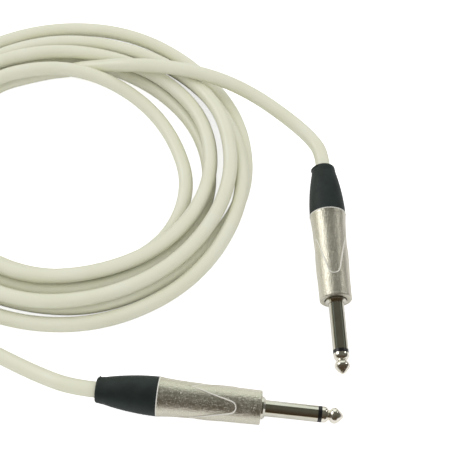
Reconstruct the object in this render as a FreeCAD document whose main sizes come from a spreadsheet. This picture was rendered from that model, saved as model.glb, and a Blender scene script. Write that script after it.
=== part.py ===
import FreeCAD, Part
import math
import os
import Sketcher

# Sizes in millimetres and degrees. Each plug is measured along its own axis, from the boot's rear end.
SIZES = {
    "cable_diameter": 6.3,
    "cable_fit": 0.05,
    "turning_fit": 0.05,
    # rubber boot
    "boot_length": 24.0,
    "boot_rear_radius": 5.05,
    "boot_rear_edge": 0.8,
    "boot_straight": 3.4,
    "boot_waist_radius": 5.35,
    "boot_front_radius": 7.7,
    "boot_bulge_radius": 100.0,
    "boot_grip_length": 12.0,
    "boot_cavity_radius": 5.45,
    "boot_lip_start": 0.2,
    "boot_lip_width": 1.3,
    "boot_lip_height": 0.4,
    "boot_lip_angle": 110.0,
    # metal shell
    "shell_length": 40.3,
    "shell_rear_radius": 7.75,
    "shell_rear_chamfer": 0.4,
    "shell_flare_length": 9.0,
    "shell_flare_arc": 85.0,
    "shell_body_radius": 7.1,
    "shell_front_radius": 6.66,
    "shell_front_edge": 0.4,
    "shell_rear_bore": 6.5,
    "shell_rear_bore_depth": 8.0,
    "shell_bore": 5.7,
    "shell_wall": 2.5,
    "shell_front_bore": 4.7,
    # finger recesses round the shell
    "recess_end": 30.6,
    "recess_end_radius": 2.45,
    "recess_spread": 13.3,
    "recess_start": 7.6,
    "recess_start_radius": 7.14,
    "recess_floor_radius": 6.38,
    "recess_side_height": 3.55,
    "recess_reach": 9.0,
    # strain relief inside the boot and the shell
    "bush_flange_radius": 6.4,
    "bush_flange_length": 7.8,
    "bush_mouth_radius": 5.2,
    "bush_mouth_length": 11.0,
    "chuck_taper_length": 9.0,
    "chuck_flange_radius": 5.6,
    "chuck_flange_length": 2.0,
    "chuck_slot_width": 0.8,
    "chuck_slot_length": 8.0,
    # insulating liner between the chuck and the pin
    "liner_radius": 5.6,
    "liner_wall": 0.3,
    # pin
    "collar_radius": 4.4,
    "collar_reach": 1.5,
    "collar_bevel": 0.8,
    "flange_radius": 5.55,
    "flange_length": 1.5,
    "hub_radius": 4.6,
    "hub_length": 3.4,
    "sleeve_radius": 3.175,
    "sleeve_length": 20.4,
    "sleeve_bore": 2.15,
    "rod_radius": 1.2,
    "rod_cover_radius": 2.1,
    "ring_width": 1.5,
    "ring_radius": 3.15,
    "tip_length": 8.5,
    "tip_bore_depth": 2.0,
    "tip_rear_radius": 3.15,
    "tip_rear_length": 0.9,
    "tip_shoulder_arc": 1.9,
    "tip_neck_position": 2.65,
    "tip_neck_radius": 1.95,
    "tip_neck_length": 0.4,
    "tip_ball_radius": 3.15,
    "tip_ball_back_length": 2.15,
    "tip_ball_back_arc": 2.5,
    "tip_ball_front_length": 0.65,
    "tip_ball_front_arc": 1.2,
    "tip_cone_radius": 2.95,
    "tip_cone_arc": 10.0,
    "tip_nose_length": 0.3,
    "tip_nose_radius": 0.8,
    "tip_nose_arc": 1.25,
    # washers and lugs behind the pin
    "ground_ring_radius": 4.6,
    "ground_ring_thickness": 0.8,
    "rear_neck_radius": 3.2,
    "rear_flange_radius": 4.2,
    "rear_flange_length": 1.0,
    "tip_washer_radius": 2.6,
    "tip_washer_thickness": 0.8,
    "rod_head_radius": 1.9,
    "rod_head_length": 1.0,
    "tab_width": 2.4,
    "tab_low": 2.0,
    "tab_high": 2.5,
    "tab_length": 8.2,
    "strip_width": 3.0,
    "strip_near": 3.4,
    "strip_far": 4.0,
    "lug_length": 19.0,
    "clamp_length": 4.0,
    "clamp_thickness": 0.6,
    "clamp_angle": 180.0,
    # cable end inside the plug, measured back from the pin
    "stripped_length": 10.6,
    "braid_inner": 1.6,
    "braid_outer": 2.45,
    "braid_length": 2.0,
    "pigtail_radius": 0.4,
    "core_radius": 1.5,
    "core_length": 5.4,
    "conductor_radius": 0.45,
    "conductor_clearance": 0.7,
    "solder_wide": 1.2,
    "solder_narrow": 0.9,
    "tip_solder_distance": 1.9,
    "tip_solder_height": 1.0,
    "ground_solder_distance": 8.1,
    "ground_solder_height": 0.75,
    "pigtail_past_solder": 1.6,
}

# Where the boots' rear ends lie on the table, and the way each plug points
PLUGS = {
    "plug_1": {"x": -50.78, "y": -45.2, "heading": -5.97, "shell_roll": 31.0, "lip_roll": -90.0},
    "plug_2": {"x": 42.4, "y": 58.42, "heading": -88.03, "shell_roll": 2.6, "lip_roll": 90.0},
}

# The coil lies round this point. Each turn is a row of stations, 30 degrees apart and clockwise
# from above, each with the distance of the cable's middle from that point and its height.
COIL_X = -70.0
COIL_Y = 65.0
FIRST_ANGLE = 165.0
STATIONS = 12
LOW = SIZES["cable_diameter"] / 2.0
TURNS = [
    [(88.0, LOW), (82.5, LOW), (80.2, LOW), (78.3, LOW), (76.0, LOW), (78.0, LOW),
     (78.8, LOW), (73.2, LOW), (73.2, LOW), (71.1, LOW), (73.0, LOW), (76.5, LOW)],
    [(78.0, LOW), (74.5, LOW), (72.4, LOW), (69.3, LOW), (69.2, LOW), (72.2, 8.2),
     (79.3, 11.0), (81.4, 6.0), (80.4, LOW), (79.5, LOW), (80.5, 4.5), (80.0, 9.9)],
    [(75.0, 9.9), (70.3, 8.6), (67.9, 8.25), (65.0, 8.45), (66.0, 9.2), (69.5, 15.2),
     (73.0, 14.3), (72.45, 9.9), (72.2, 9.95), (73.2, 10.0), (70.0, 9.8), (70.5, 7.0)],
    [(70.0, 3.9), (65.8, LOW), (63.0, LOW), (55.7, LOW), (54.95, LOW), (59.0, LOW),
     (64.0, LOW), (66.0, LOW), (64.2, LOW), (64.3, LOW), (65.2, LOW), (63.0, LOW)],
    [(63.6, 9.2), (64.8, 12.5), (60.8, 9.95), (56.9, 9.9), (58.1, 9.7), (61.6, 9.8),
     (63.5, 10.0), (62.8, 10.0), (60.4, 9.9), (61.6, 9.9), (60.5, 9.7), (58.0, 9.8)],
    [(55.8, 10.0), (58.0, 10.2), (48.0, 13.4), (42.9, 12.2), (44.2, 5.0), (46.5, LOW),
     (53.9, LOW), (58.9, LOW), (57.4, LOW), (57.5, LOW), (57.9, LOW), (55.3, LOW)],
]

# Free ends of the cable, as points of a route of straight runs: from the first boot to the coil,
# and from the coil over its own turns to the second boot
LEAD_1_ROUTE = [
    (-73.5, -38.2, 5.4), (-89.0, -30.0, LOW), (-107.0, -20.5, LOW),
    (-130.0, -3.0, LOW), (-151.0, 22.0, LOW), (-160.0, 52.0, LOW),
]
LEAD_2_ROUTE = [
    (-127.5, 80.4, LOW), (-113.2, 108.2, LOW), (-86.0, 117.0, 3.3), (-75.5, 117.2, 4.6),
    (-68.0, 116.5, 7.6), (-60.5, 114.8, 10.3), (-52.4, 112.1, 14.6), (-42.8, 109.9, 17.4),
    (-29.9, 108.9, 17.8), (-16.0, 105.5, 18.4), (-0.9, 102.7, 15.0), (14.2, 97.1, 10.0),
    (30.0, 84.6, 7.6), (39.3, 73.4, 7.9),
]
LEAD_1_FIRST_RUN = 10.0
LEAD_2_LAST_RUN = 7.1
ARC_SHARE = 0.45
STRAIGHT_END = SIZES["cable_diameter"]

# Points this far apart along the cable count as different strands when the gap is measured
STRAND_DISTANCE = 40.0
GAP_STEP = 1.5
LEAST_GAP = 0.4

document = FreeCAD.newDocument("instrument_cable")
sheet = document.addObject("Spreadsheet::Sheet", "sizes")
for row, (name, value) in enumerate(SIZES.items(), start=1):
    sheet.set("A%d" % row, name)
    sheet.set("B%d" % row, "%g" % value)
    sheet.setAlias("B%d" % row, name)
document.recompute()

sub_parts = []


class Length:
    """A size from the sheet, or a sum of such sizes, as a number and as a formula."""

    def __init__(self, value, text):
        self.value = value
        self.text = text

    def __add__(self, other):
        return Length(self.value + other.value, "(%s + %s)" % (self.text, other.text))

    def __sub__(self, other):
        return Length(self.value - other.value, "(%s - %s)" % (self.text, other.text))

    def __neg__(self):
        return Length(-self.value, "(0 - %s)" % self.text)

    def times(self, factor):
        return Length(self.value * factor, "(%s * %g)" % (self.text, factor))


def size(name):
    return Length(SIZES[name], "sizes.%s" % name)


ON_AXIS = None


def new_body(label):
    body = document.addObject("PartDesign::Body", label)
    body.Label = label
    body.AllowCompound = True
    return body


def origin_feature(body, role):
    return [feature for feature in body.Origin.OriginFeatures if feature.Role == role][0]


def arc_between(start, end, radius, side):
    """The short arc from start to end; side is +1 where it bulges to the left of the way there."""
    chord = end - start
    middle = (start + end) * 0.5
    height = math.sqrt(radius ** 2 - (chord.Length / 2.0) ** 2)
    left = FreeCAD.Vector(-chord.y, chord.x, 0).normalize()
    centre = middle - left * (side * height)
    top = centre + left * (side * radius)
    return Part.Arc(start, top, end)


def outline_sketch(body, name, role, points, arcs=None):
    """A closed outline of straight edges, some of them replaced by arcs {edge: (radius, side)}."""
    arcs = arcs or {}
    sketch = body.newObject("Sketcher::SketchObject", name)
    sketch.AttachmentSupport = (origin_feature(body, role), [""])
    sketch.MapMode = "FlatFace"
    corners = []
    for point in points:
        flat = [0.0 if coordinate is None else coordinate.value for coordinate in point]
        corners.append(FreeCAD.Vector(flat[0], flat[1], 0))
    count = len(corners)
    starts = {}
    ends = {}
    for index in range(count):
        start = corners[index]
        end = corners[(index + 1) % count]
        if index in arcs:
            radius, side = arcs[index]
            arc = arc_between(start, end, radius.value, side)
            edge = sketch.addGeometry(arc, False)
            forward = (sketch.getPoint(edge, 1) - start).Length < (sketch.getPoint(edge, 2) - start).Length
            starts[index] = 1 if forward else 2
            ends[index] = 2 if forward else 1
        else:
            sketch.addGeometry(Part.LineSegment(start, end), False)
            starts[index] = 1
            ends[index] = 2
    for index in range(count):
        following = (index + 1) % count
        joint = Sketcher.Constraint("Coincident", index, ends[index], following, starts[following])
        sketch.addConstraint(joint)
    for index in range(count):
        if index in arcs:
            radius = arcs[index][0]
            number = sketch.addConstraint(Sketcher.Constraint("Radius", index, radius.value))
            sketch.setExpression("Constraints[%d]" % number, radius.text)
    for index, point in enumerate(points):
        for coordinate, kind, axis in ((point[0], "DistanceX", -2), (point[1], "DistanceY", -1)):
            if coordinate is None:
                sketch.addConstraint(Sketcher.Constraint("PointOnObject", index, starts[index], axis))
                continue
            tie = Sketcher.Constraint(kind, -1, 1, index, starts[index], coordinate.value)
            number = sketch.addConstraint(tie)
            sketch.setExpression("Constraints[%d]" % number, coordinate.text)
    return sketch


def turned(body, name, points, arcs=None, angle=None):
    """Adds a solid turned round the plug's axis; a part turn is centred on the upward side."""
    sketch = outline_sketch(body, name + "_outline", "XZ_Plane", points, arcs)
    turn = body.newObject("PartDesign::Revolution", name)
    turn.Profile = sketch
    turn.ReferenceAxis = (sketch, ["H_Axis"])
    if angle is not None:
        turn.Midplane = True
        turn.Angle = angle.value
        turn.setExpression("Angle", angle.text)
    sketch.Visibility = False
    return turn


def slab(body, name, kind, role, points, width):
    """Adds or cuts a slab of a given width, centred on the plane of its outline."""
    sketch = outline_sketch(body, name + "_outline", role, points)
    feature = body.newObject(kind, name)
    feature.Profile = sketch
    feature.SideType = "Symmetric"
    feature.Length = width.value
    feature.setExpression("Length", width.text)
    sketch.Visibility = False
    return feature


def tube_ring(rear, front, inner, outer):
    """The half section of a plain tube."""
    return [(rear, inner), (front, inner), (front, outer), (rear, outer)]


def disc(rear, front, radius):
    """The half section of a plain solid cylinder."""
    return [(rear, ON_AXIS), (front, ON_AXIS), (front, radius), (rear, radius)]


def finish(thing, label, placement):
    thing.Label = label
    if placement is not None:
        thing.Placement = placement
    sub_parts.append(thing)
    return thing


# Stations along the plug's axis, from the boot's rear end to the tip
shell_rear = size("boot_length")
shell_front = shell_rear + size("shell_length")
shell_inner_face = shell_front - size("shell_wall")
collar_front = shell_front + size("collar_reach")
sleeve_front = collar_front + size("sleeve_length")
ring_front = sleeve_front + size("ring_width")
tip_front = ring_front + size("tip_length")
flange_rear = shell_inner_face - size("flange_length")
hub_rear = flange_rear - size("hub_length")
ground_ring_rear = hub_rear - size("ground_ring_thickness")
rear_flange_rear = ground_ring_rear - size("rear_flange_length")
washer_rear = rear_flange_rear - size("tip_washer_thickness")
rod_head_rear = washer_rear - size("rod_head_length")
bush_front = shell_rear + size("bush_flange_length")
throat_front = bush_front - size("bush_mouth_length")
chuck_rear = bush_front - size("chuck_taper_length")
chuck_front = bush_front + size("chuck_flange_length")
clamp_rear = hub_rear - size("lug_length")
clamp_front = clamp_rear + size("clamp_length")
jacket_front = rod_head_rear - size("stripped_length")
braid_front = jacket_front + size("braid_length")
core_front = jacket_front + size("core_length")
tip_solder_middle = rod_head_rear - size("tip_solder_distance")
ground_solder_middle = hub_rear - size("ground_solder_distance")
cable_radius = size("cable_diameter").times(0.5)
cable_bore = cable_radius + size("cable_fit")
rod_bore = size("rod_radius") + size("turning_fit")


def plug_placement(plug, roll):
    """Lays the shell's rear flare and its front edge on the table, with the boot's rear at x, y."""
    rear = SIZES["shell_rear_radius"]
    front = SIZES["shell_front_radius"]
    between = SIZES["shell_length"] - SIZES["shell_rear_chamfer"] - SIZES["shell_front_edge"]
    tilt = math.degrees(math.asin((rear - front) / between))
    flare = SIZES["boot_length"] + SIZES["shell_rear_chamfer"]
    height = rear * math.cos(math.radians(tilt)) + flare * math.sin(math.radians(tilt))
    rotation = FreeCAD.Rotation(plug["heading"], tilt, roll)
    return FreeCAD.Placement(FreeCAD.Vector(plug["x"], plug["y"], height), rotation)


def make_boot(label, placement):
    """A tapered rubber sleeve that grips the cable, with a thumb lip on one side of its rear rim."""
    body = new_body(label)
    edge = size("boot_rear_edge")
    points = [
        (ON_AXIS, cable_bore),
        (size("boot_grip_length"), cable_bore),
        (size("boot_grip_length"), size("boot_cavity_radius")),
        (shell_rear, size("boot_cavity_radius")),
        (shell_rear, size("boot_front_radius")),
        (size("boot_straight"), size("boot_waist_radius")),
        (edge, size("boot_rear_radius")),
        (ON_AXIS, size("boot_rear_radius") - edge),
    ]
    turned(body, "sleeve", points, {4: (size("boot_bulge_radius"), -1), 6: (edge, -1)})
    half_lip = size("boot_lip_width").times(0.5)
    lip_start = size("boot_lip_start")
    lip = [
        (lip_start, size("boot_rear_radius") - edge),
        (lip_start + size("boot_lip_width"), size("boot_rear_radius") - edge),
        (lip_start + size("boot_lip_width"), size("boot_rear_radius")),
        (lip_start + half_lip, size("boot_rear_radius") + size("boot_lip_height")),
    ]
    turned(body, "lip", lip, angle=size("boot_lip_angle"))
    return finish(body, label, placement)


def make_shell(label, placement):
    """The metal shell: a flared tube with a front wall, and three finger recesses round it."""
    body = new_body(label + "_turned")
    chamfer = size("shell_rear_chamfer")
    edge = size("shell_front_edge")
    bore_step = shell_rear + size("shell_rear_bore_depth")
    points = [
        (shell_rear, size("shell_rear_bore")),
        (bore_step, size("shell_rear_bore")),
        (bore_step, size("shell_bore")),
        (shell_inner_face, size("shell_bore")),
        (shell_inner_face, size("shell_front_bore")),
        (shell_front, size("shell_front_bore")),
        (shell_front, size("shell_front_radius") - edge),
        (shell_front - edge, size("shell_front_radius")),
        (shell_rear + size("shell_flare_length"), size("shell_body_radius")),
        (shell_rear + chamfer, size("shell_rear_radius")),
        (shell_rear, size("shell_rear_radius") - chamfer),
    ]
    turned(body, "tube", points, {6: (edge, -1), 8: (size("shell_flare_arc"), 1)})

    ring = new_body(label + "_recess_ring")
    start = shell_rear + size("recess_start")
    end = shell_rear + size("recess_end")
    ring_points = [
        (start, size("recess_start_radius")),
        (end, size("recess_floor_radius")),
        (end, size("recess_reach")),
        (start, size("recess_reach")),
    ]
    turned(ring, "floor", ring_points)

    fingers = new_body(label + "_recess_fingers")
    outline = recess_outline(fingers, start, end)
    outline.AttachmentOffset = FreeCAD.Placement(
        FreeCAD.Vector(0, 0, SIZES["recess_side_height"]), FreeCAD.Rotation())
    outline.setExpression("AttachmentOffset.Base.z", size("recess_side_height").text)
    finger = fingers.newObject("PartDesign::Pad", "finger")
    finger.Profile = outline
    finger.Length = SIZES["recess_reach"]
    finger.setExpression("Length", size("recess_reach").text)
    document.recompute()
    pattern = fingers.newObject("PartDesign::PolarPattern", "fingers_round")
    pattern.Originals = [finger]
    pattern.Axis = (origin_feature(fingers, "X_Axis"), [""])
    pattern.Angle = 360.0
    pattern.Occurrences = 3
    fingers.Tip = pattern

    recess = document.addObject("Part::Common", label + "_recesses")
    recess.Base = ring
    recess.Tool = fingers
    shell = document.addObject("Part::Cut", label)
    shell.Base = body
    shell.Tool = recess
    return finish(shell, label, placement)


def recess_outline(body, start, end):
    """A rounded finger shape, with its round end forward and its sides spreading to the rear."""
    radius = size("recess_end_radius")
    spread = math.radians(SIZES["recess_spread"])
    centre_x = end - radius
    cosine = "cos(sizes.recess_spread * 1 deg)"
    sine = "sin(sizes.recess_spread * 1 deg)"
    tangent = "tan(sizes.recess_spread * 1 deg)"
    touch_x = Length(centre_x.value + radius.value * math.sin(spread),
                     "(%s + %s * %s)" % (centre_x.text, radius.text, sine))
    touch_y = Length(radius.value * math.cos(spread), "(%s * %s)" % (radius.text, cosine))
    back_y = Length(touch_y.value + (touch_x.value - start.value) * math.tan(spread),
                    "(%s + (%s - %s) * %s)" % (touch_y.text, touch_x.text, start.text, tangent))
    points = [(start, -back_y), (touch_x, -touch_y), (end, ON_AXIS), (touch_x, touch_y), (start, back_y)]
    return outline_sketch(body, "finger_outline", "XY_Plane", points, {1: (radius, -1), 2: (radius, -1)})


def make_bush(label, placement):
    """The threaded bush that the boot closes on; its tapered mouth squeezes the chuck."""
    body = new_body(label)
    outer = size("boot_cavity_radius") - size("turning_fit")
    bore = cable_bore + size("cable_fit")
    points = [
        (size("boot_grip_length"), bore),
        (throat_front, bore),
        (bush_front, size("bush_mouth_radius")),
        (bush_front, size("bush_flange_radius")),
        (shell_rear, size("bush_flange_radius")),
        (shell_rear, outer),
        (size("boot_grip_length"), outer),
    ]
    turned(body, "bush", points)
    return finish(body, label, placement)


def make_chuck(label, placement):
    """The slotted chuck: its taper fits the bush's mouth and closes its jaws on the cable."""
    body = new_body(label)
    bore = cable_bore
    fit = size("turning_fit")
    mouth = size("bush_mouth_radius")
    throat = cable_bore + size("cable_fit")
    slope = (mouth.value - throat.value) / (bush_front.value - throat_front.value)
    slope_text = "((%s - %s) / (%s - %s))" % (mouth.text, throat.text, bush_front.text, throat_front.text)
    taper = size("chuck_taper_length")
    small = Length(mouth.value - fit.value - slope * taper.value,
                   "(%s - %s - %s * %s)" % (mouth.text, fit.text, slope_text, taper.text))
    points = [
        (chuck_rear, bore),
        (chuck_front, bore),
        (chuck_front, size("chuck_flange_radius")),
        (bush_front, size("chuck_flange_radius")),
        (bush_front, mouth - fit),
        (chuck_rear, small),
    ]
    turned(body, "chuck", points)
    document.recompute()
    reach = size("bush_flange_radius")
    slot_end = chuck_rear + size("chuck_slot_length")
    slot_start = chuck_rear - size("chuck_slot_width")
    slot = [(slot_start, -reach), (slot_end, -reach), (slot_end, reach), (slot_start, reach)]
    width = size("chuck_slot_width")
    slab(body, "slot_upright", "PartDesign::Pocket", "XZ_Plane", slot, width)
    slab(body, "slot_flat", "PartDesign::Pocket", "XY_Plane", slot, width)
    return finish(body, label, placement)


def make_liner(label, placement):
    """A thin insulating sleeve that keeps the joints clear of the shell."""
    body = new_body(label)
    inner = size("liner_radius") - size("liner_wall")
    turned(body, "liner", tube_ring(chuck_front, flange_rear, inner, size("liner_radius")))
    return finish(body, label, placement)


def make_pin_sleeve(label, placement):
    """The sleeve contact with its hub, flange and bevelled collar, in one piece."""
    body = new_body(label)
    points = [
        (hub_rear, size("sleeve_bore")),
        (sleeve_front, size("sleeve_bore")),
        (sleeve_front, size("sleeve_radius")),
        (collar_front, size("sleeve_radius")),
        (collar_front, size("collar_radius") - size("collar_bevel")),
        (collar_front - size("collar_bevel"), size("collar_radius")),
        (shell_inner_face, size("collar_radius")),
        (shell_inner_face, size("flange_radius")),
        (flange_rear, size("flange_radius")),
        (flange_rear, size("hub_radius")),
        (hub_rear, size("hub_radius")),
    ]
    turned(body, "pin", points)
    return finish(body, label, placement)


def make_tip(label, placement):
    """The tip contact: a rounded shoulder, a waist for the socket's spring, a ball and a nose."""
    body = new_body(label)
    bore_end = ring_front + size("tip_bore_depth")
    neck_rear = ring_front + size("tip_neck_position")
    neck_front = neck_rear + size("tip_neck_length")
    ball = neck_front + size("tip_ball_back_length")
    points = [
        (ring_front, rod_bore),
        (bore_end, rod_bore),
        (bore_end, ON_AXIS),
        (tip_front, ON_AXIS),
        (tip_front - size("tip_nose_length"), size("tip_nose_radius")),
        (ball + size("tip_ball_front_length"), size("tip_cone_radius")),
        (ball, size("tip_ball_radius")),
        (neck_front, size("tip_neck_radius")),
        (neck_rear, size("tip_neck_radius")),
        (ring_front + size("tip_rear_length"), size("tip_rear_radius")),
        (ring_front, size("tip_rear_radius")),
    ]
    arcs = {
        3: (size("tip_nose_arc"), -1),
        4: (size("tip_cone_arc"), -1),
        5: (size("tip_ball_front_arc"), -1),
        6: (size("tip_ball_back_arc"), -1),
        8: (size("tip_shoulder_arc"), -1),
    }
    turned(body, "tip", points, arcs)
    return finish(body, label, placement)


def make_tip_rod(label, placement):
    """The rod that carries the tip's contact back through the pin, with a riveted head."""
    body = new_body(label)
    rod_end = ring_front + size("tip_bore_depth")
    points = [
        (rod_head_rear, ON_AXIS),
        (rod_end, ON_AXIS),
        (rod_end, size("rod_radius")),
        (washer_rear, size("rod_radius")),
        (washer_rear, size("rod_head_radius")),
        (rod_head_rear, size("rod_head_radius")),
    ]
    turned(body, "rod", points)
    return finish(body, label, placement)


def make_plain_ring(label, placement, rear, front, inner, outer):
    body = new_body(label)
    turned(body, "ring", tube_ring(rear, front, inner, outer))
    return finish(body, label, placement)


def make_rear_insulator(label, placement):
    """The stepped insulating washer between the ground lug and the tip lug."""
    body = new_body(label)
    points = [
        (rear_flange_rear, rod_bore),
        (hub_rear, rod_bore),
        (hub_rear, size("rear_neck_radius")),
        (ground_ring_rear, size("rear_neck_radius")),
        (ground_ring_rear, size("rear_flange_radius")),
        (rear_flange_rear, size("rear_flange_radius")),
    ]
    turned(body, "washer", points)
    return finish(body, label, placement)


def make_tip_lug(label, placement):
    """A washer on the rod with a solder tab that runs back above the rod's head."""
    body = new_body(label)
    turned(body, "washer", tube_ring(washer_rear, rear_flange_rear, rod_bore, size("tip_washer_radius")))
    low = size("tab_low")
    high = size("tab_high")
    tab_rear = rear_flange_rear - size("tab_length")
    tab = [(tab_rear, low), (rear_flange_rear, low), (rear_flange_rear, high), (tab_rear, high)]
    slab(body, "tab", "PartDesign::Pad", "XZ_Plane", tab, size("tab_width"))
    return finish(body, label, placement)


def make_ground_lug(label, placement):
    """A ring round the insulator, a strip along the underside and a half-round cable clamp."""
    body = new_body(label)
    neck = size("rear_neck_radius") + size("turning_fit")
    turned(body, "ring", tube_ring(ground_ring_rear, hub_rear, neck, size("ground_ring_radius")))
    near = -size("strip_near")
    far = -size("strip_far")
    strip = [(clamp_rear, far), (hub_rear, far), (hub_rear, near), (clamp_rear, near)]
    slab(body, "strip", "PartDesign::Pad", "XZ_Plane", strip, size("strip_width"))
    inner = cable_radius + size("turning_fit")
    outer = inner + size("clamp_thickness")
    clamp = [(clamp_rear, -outer), (clamp_front, -outer), (clamp_front, -inner), (clamp_rear, -inner)]
    turned(body, "clamp", clamp, angle=size("clamp_angle"))
    return finish(body, label, placement)


def make_shield(label, placement):
    """The stub of the braid, and the part of it twisted into a tail for the ground lug."""
    stub = new_body(label + "_stub")
    turned(stub, "stub", tube_ring(jacket_front, braid_front, size("braid_inner"), size("braid_outer")))
    middle = (SIZES["braid_inner"] + SIZES["braid_outer"]) / 2.0
    root = braid_front.value - SIZES["pigtail_radius"]
    low = SIZES["pigtail_radius"] + SIZES["turning_fit"] - SIZES["strip_near"]
    step = 4.0 * SIZES["pigtail_radius"]
    route = [
        FreeCAD.Vector(root, 0, -middle),
        FreeCAD.Vector(root + step, 0, -middle),
        FreeCAD.Vector(root + 2.0 * step, 0, low),
        FreeCAD.Vector(ground_solder_middle.value + SIZES["pigtail_past_solder"], 0, low),
    ]
    tail = document.addObject("Part::Feature", label + "_tail")
    tail.Shape = tube(rounded_route(route)[0], SIZES["pigtail_radius"])
    shield = document.addObject("Part::Fuse", label)
    shield.Base = stub
    shield.Tool = tail
    return finish(shield, label, placement)


def make_conductor(label, placement):
    """The bare inner conductor, bent up to the underside of the tip lug's tab."""
    start = core_front.value
    high = SIZES["tab_low"] - SIZES["conductor_radius"] - SIZES["turning_fit"]
    step = 2.0 * high
    route = [
        FreeCAD.Vector(start, 0, 0),
        FreeCAD.Vector(start + high / 2.0, 0, 0),
        FreeCAD.Vector(start + step, 0, high),
        FreeCAD.Vector(rod_head_rear.value - SIZES["conductor_clearance"], 0, high),
    ]
    wire = document.addObject("Part::Feature", label)
    wire.Shape = tube(rounded_route(route)[0], SIZES["conductor_radius"])
    return finish(wire, label, placement)


def make_solder(label, placement, middle, base, height, neighbours):
    """A cone of solder standing on a lug and holding the wire that runs through it."""
    cone = document.addObject("Part::Cone", label + "_cone")
    for field, length in (("Radius1", size("solder_wide")), ("Radius2", size("solder_narrow"))):
        setattr(cone, field, length.value)
        cone.setExpression(field, length.text)
    tall = size(height)
    cone.Height = tall.value
    cone.setExpression("Height", tall.text)
    flip = FreeCAD.Rotation(0, 0, 180.0 if base > 0 else 0.0)
    local = FreeCAD.Placement(FreeCAD.Vector(middle.value, 0, base), flip)
    cone.Placement = placement.multiply(local)
    shape = cone
    for number, neighbour in enumerate(neighbours):
        cut = document.addObject("Part::Cut", "%s_cut_%d" % (label, number))
        cut.Base = shape
        cut.Tool = neighbour
        shape = cut
    return finish(shape, label, None)


def rounded_route(points):
    """Straight runs joined by tangent arcs as large as the runs allow, and the arcs' radii."""
    edges = []
    radii = []
    start = points[0]
    for index in range(1, len(points) - 1):
        corner = points[index]
        before = corner - points[index - 1]
        after = points[index + 1] - corner
        turn = before.getAngle(after)
        reach = ARC_SHARE * min(before.Length, after.Length)
        radius = reach / math.tan(turn / 2.0)
        radii.append(radius)
        before.normalize()
        after.normalize()
        arc_start = corner - before * reach
        arc_end = corner + after * reach
        inward = (after - before).normalize()
        depth = radius / math.cos(turn / 2.0) - radius
        arc_middle = corner + inward * depth
        edges.append(Part.LineSegment(start, arc_start).toShape())
        edges.append(Part.Arc(arc_start, arc_middle, arc_end).toShape())
        start = arc_end
    edges.append(Part.LineSegment(start, points[-1]).toShape())
    return edges, radii


def tube(edges, radius):
    """A round tube along edges that follow each other without a corner."""
    path = Part.Wire(edges)
    first = edges[0]
    start = first.valueAt(first.FirstParameter)
    way = first.tangentAt(first.FirstParameter)
    section = Part.Wire([Part.makeCircle(radius, start, way)])
    sweep = Part.BRepOffsetAPI.MakePipeShell(path)
    sweep.add(section)
    sweep.build()
    sweep.makeSolid()
    return sweep.shape()


def tangent_arc(start, way, end):
    """The arc that leaves start in a given direction and reaches end, or a line if it is straight."""
    chord = end - start
    across = chord - way * chord.dot(way)
    if across.Length < 1e-6:
        return Part.LineSegment(start, end).toShape()
    across.normalize()
    radius = chord.dot(chord) / (2.0 * chord.dot(across))
    centre = start + across * radius
    middle = centre + ((start + end) * 0.5 - centre).normalize() * radius
    if (middle - start).dot(way) < 0:
        middle = centre - (middle - centre)
    return Part.Arc(start, middle, end).toShape()


def arc_pair(start, start_way, end, end_way):
    """Two tangent arcs that join two points with their directions."""
    span = end - start
    square = 2.0 * (1.0 - start_way.dot(end_way))
    linear = 2.0 * span.dot(start_way + end_way)
    constant = -span.dot(span)
    if square < 1e-9:
        reach = -constant / linear
    else:
        reach = (-linear + math.sqrt(linear ** 2 - 4.0 * square * constant)) / (2.0 * square)
    joint = (start + start_way * reach + end - end_way * reach) * 0.5
    first = joint - start
    joint_way = first * (2.0 * first.dot(start_way) / first.dot(first)) - start_way
    return [tangent_arc(start, start_way, joint), tangent_arc(joint, joint_way.normalize(), end)]


def coil_points():
    """The corners of the coil's route; each lies outside its station, so that the arcs pass there."""
    step = 2.0 * math.pi / STATIONS
    outside = 1.0 / math.cos(step / 2.0)
    points = []
    for turn in TURNS:
        for index, (distance, height) in enumerate(turn):
            angle = math.radians(FIRST_ANGLE) - index * step
            x = COIL_X + distance * outside * math.cos(angle)
            y = COIL_Y + distance * outside * math.sin(angle)
            points.append(FreeCAD.Vector(x, y, height))
    return points


def coil_edges(before, points, after):
    """Arc pairs between the middles of the runs, with a straight end at each neighbour."""
    route = [before] + points + [after]
    middles = [(first + second) * 0.5 for first, second in zip(route, route[1:])]
    ways = [(second - first).normalize() for first, second in zip(route, route[1:])]
    inner_start = middles[0] + ways[0] * STRAIGHT_END
    inner_end = middles[-1] - ways[-1] * STRAIGHT_END
    places = [inner_start] + middles[1:-1] + [inner_end]
    edges = [Part.LineSegment(middles[0], inner_start).toShape()]
    for index in range(len(places) - 1):
        edges += arc_pair(places[index], ways[index], places[index + 1], ways[index + 1])
    edges.append(Part.LineSegment(inner_end, middles[-1]).toShape())
    return edges, middles[0], middles[-1]


def cable_piece(label, edges):
    radius = SIZES["cable_diameter"] / 2.0
    solid = tube(edges, radius)
    length = sum(edge.Length for edge in edges)
    section = math.pi * radius ** 2
    print("%s: length %.1f mm, volume over section times length %.4f"
          % (label, length, solid.Volume / (section * length)))
    piece = document.addObject("Part::Feature", label)
    piece.Shape = solid
    finish(piece, label, None)
    return length


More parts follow.
